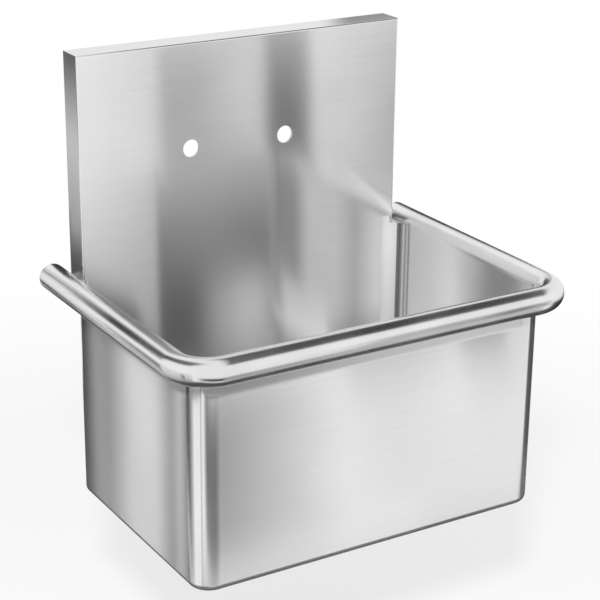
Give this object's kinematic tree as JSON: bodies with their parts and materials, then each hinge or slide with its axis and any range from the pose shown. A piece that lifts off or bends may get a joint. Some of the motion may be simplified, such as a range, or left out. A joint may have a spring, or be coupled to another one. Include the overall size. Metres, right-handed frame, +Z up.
{
  "type": "surgical scrub sink",
  "caption": "Wall-hung stainless scrub sink: a deep rectangular bowl with a rolled rim under a tall backsplash with tap holes.",
  "frame": {"origin": "on the wall, at the middle of the hanger bracket's line of screw holes", "axes": "+X to the right of someone who stands at the sink, +Y into the wall, +Z up"},
  "size_m": [0.8204, 0.5842, 0.9684],
  "materials": {
    "sheet_steel": "satin, vertical grain",
    "rim_steel": "fine satin along the roll",
    "bracket_steel": "mill finish",
    "drain_steel": "polished",
    "chrome_tube": "bright plated",
    "brass": "as cast, machined thread",
    "gasket_rubber": "matt",
    "pad_rubber": "matt, pressed",
    "fibre": "pressed fibre",
    "washer_plastic": "smooth"
  },
  "bodies": {
    "sink": {"back_panel": "sheet_steel", "bowl_wrap": "sheet_steel", "left_end_panel": "sheet_steel", "right_end_panel": "sheet_steel", "front_rim": "rim_steel", "left_rim": "rim_steel", "right_rim": "rim_steel", "left_rim_corner": "rim_steel", "right_rim_corner": "rim_steel", "left_rim_cap": "rim_steel", "right_rim_cap": "rim_steel", "tap_backing_plate": "bracket_steel", "hanger_channel": "bracket_steel", "wall_hanger": "bracket_steel", "left_lower_bracket": "bracket_steel", "right_lower_bracket": "bracket_steel", "left_sound_pad": "pad_rubber", "right_sound_pad": "pad_rubber", "drain_body": "drain_steel", "drain_gasket": "gasket_rubber", "friction_ring": "fibre", "drain_lock_nut": "brass", "tailpiece": "chrome_tube", "tailpiece_washer": "washer_plastic", "coupling_nut": "chrome_tube"},
    "strainer": {"strainer_plate": "drain_steel", "strainer_knob": "drain_steel"}
  },
  "joints": [
    {"name": "strainer_lift", "type": "slide", "parent": "sink", "child": "strainer", "axis": [0, 0, 1], "range_m": [0, 0.5]}
  ]
}
